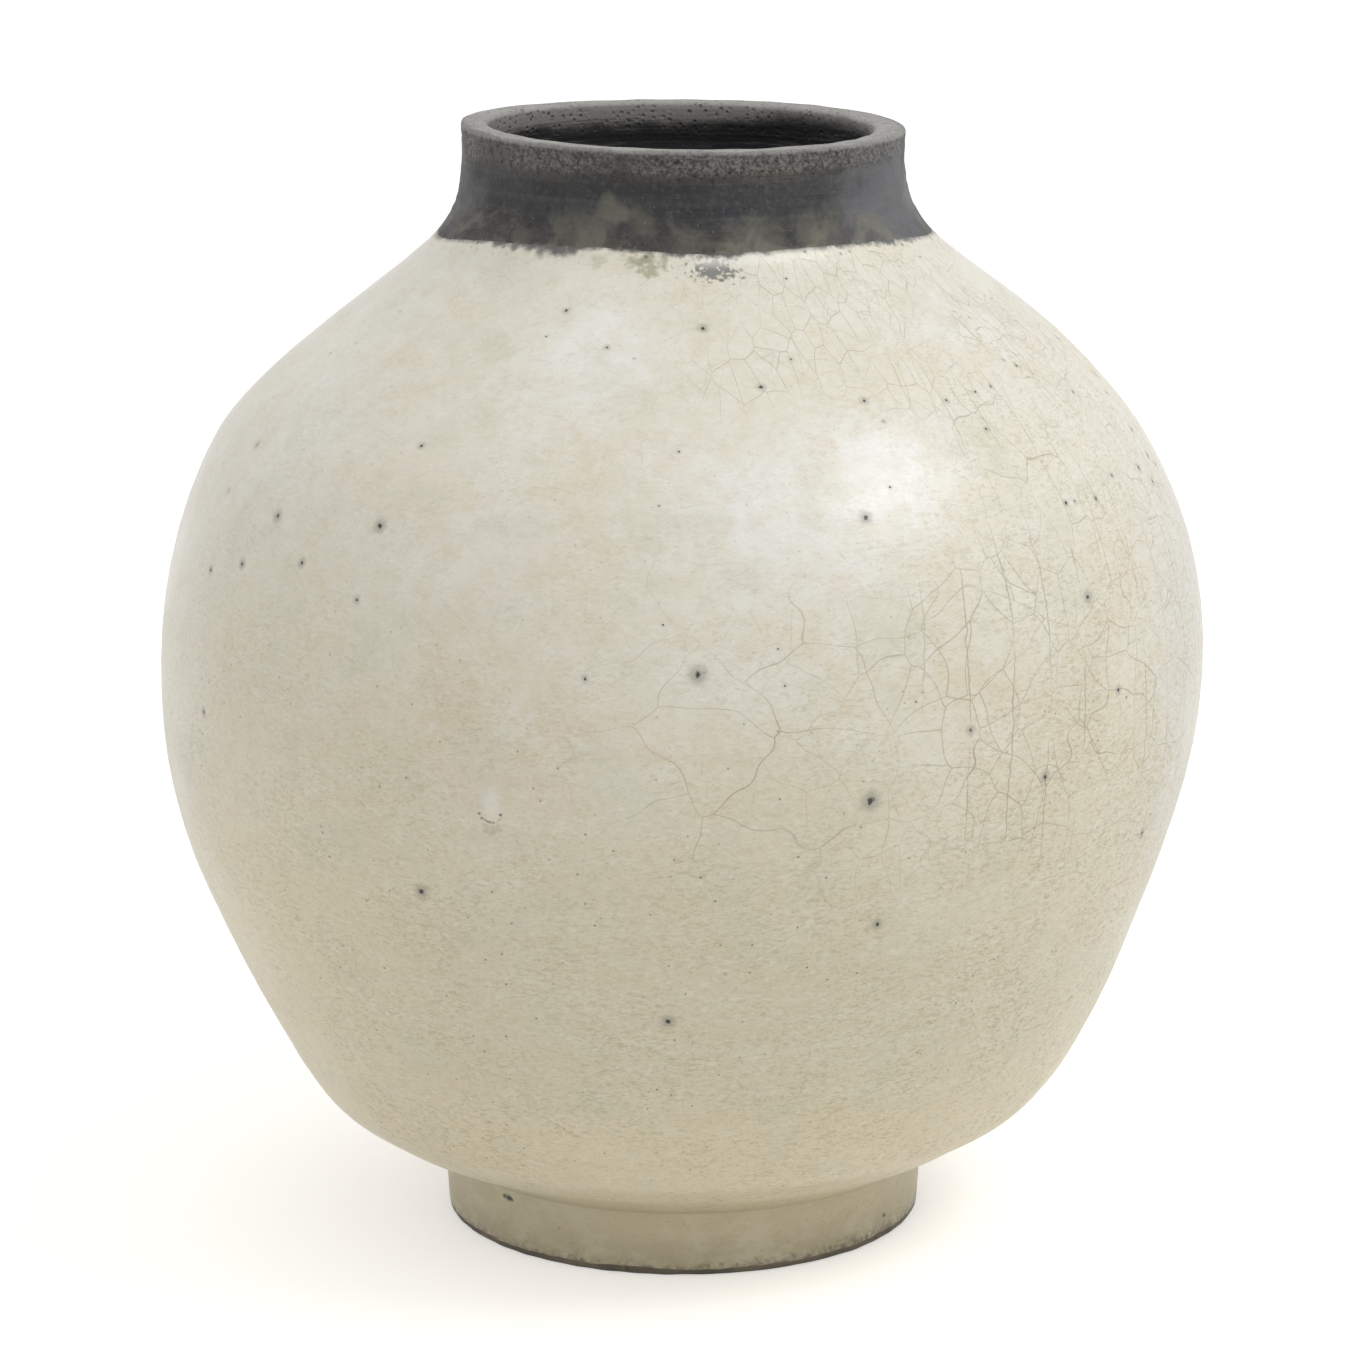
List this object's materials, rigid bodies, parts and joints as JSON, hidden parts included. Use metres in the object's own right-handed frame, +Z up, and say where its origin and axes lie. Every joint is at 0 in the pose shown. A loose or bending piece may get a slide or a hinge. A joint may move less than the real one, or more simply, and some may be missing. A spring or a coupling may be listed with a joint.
{
  "type": "moon jar",
  "caption": "Round Korean moon jar thrown as two bowls, with a bare dark collar, a thick lip, a crackled white glaze and a turned foot ring.",
  "frame": {"origin": "centre of the foot ring's resting face, on the floor", "axes": "+Z up along the jar's axis, +X to the right of the picture, -Y towards its camera"},
  "size_m": [0.2823, 0.2822, 0.3],
  "materials": {
    "foot_clay": "bare fired stoneware, brown grey, slightly rough",
    "slip": "fired slip in the joints, matt",
    "body_clay": "bare dark stoneware inside the jar, matt with throwing lines",
    "dark_clay": "bare charcoal grey stoneware with grog, satin",
    "glaze": "glossy milky white glaze with fine crackle and dark pinholes"
  },
  "bodies": {
    "root": {"foot_ring": "foot_clay", "foot_slip": "slip", "lower_bowl": "body_clay", "waist_slip": "slip", "upper_bowl": "body_clay", "neck_slip": "slip", "neck_collar": "dark_clay", "outer_glaze": "glaze"}
  },
  "joints": []
}
